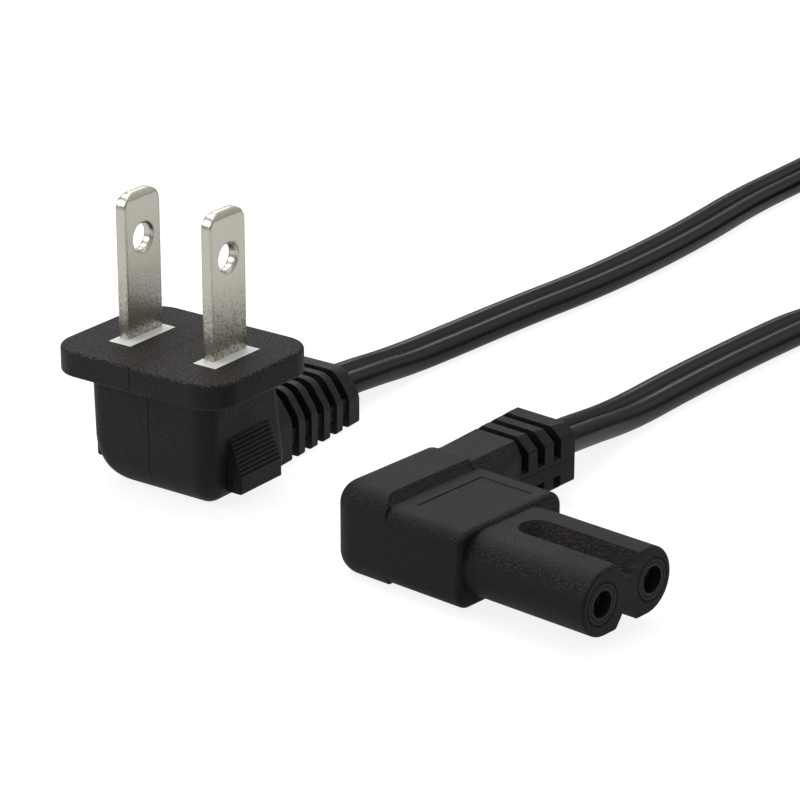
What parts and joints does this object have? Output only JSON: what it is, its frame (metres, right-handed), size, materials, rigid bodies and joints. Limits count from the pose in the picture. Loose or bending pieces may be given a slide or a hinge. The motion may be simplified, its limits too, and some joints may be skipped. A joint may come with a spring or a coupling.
{
  "type": "type a plug",
  "caption": "Moulded black cord set: flat two-blade type A plug with side exit, flat twin cord and a right-angled figure-8 connector.",
  "frame": {"origin": "centre of the plug's face, midway between the two blades", "axes": "+Z along the blades, away from the plug; +X from the neutral blade to the line blade; +Y the way the cord leaves the plug"},
  "size_m": [0.0899, 0.2399, 0.0349],
  "materials": {
    "black_moulding": "fine spark-eroded grain, matt",
    "black_cord": "extruded, semi-gloss",
    "nickel_plate": "nickel-plated brass, lightly brushed",
    "white_holder": "moulded, satin",
    "black_carrier": "moulded, satin",
    "contact_brass": "bright stamped brass",
    "bare_copper": "bright drawn wire",
    "black_band": "satin"
  },
  "bodies": {
    "root": {"plug_housing": "black_moulding", "blade_holder": "white_holder", "line_blade": "nickel_plate", "neutral_blade": "nickel_plate", "plug_cord_end": "black_cord", "plug_line_strands": "bare_copper", "plug_neutral_strands": "bare_copper", "cord_plug_run": "black_cord", "cord_coil": "black_cord", "coil_tie": "black_band", "cord_connector_run": "black_cord", "connector_housing": "black_moulding", "contact_carrier": "black_carrier", "carrier_cap": "black_carrier", "line_contact": "contact_brass", "neutral_contact": "contact_brass", "connector_cord_end": "black_cord", "connector_line_strands": "bare_copper", "connector_neutral_strands": "bare_copper"}
  },
  "joints": []
}
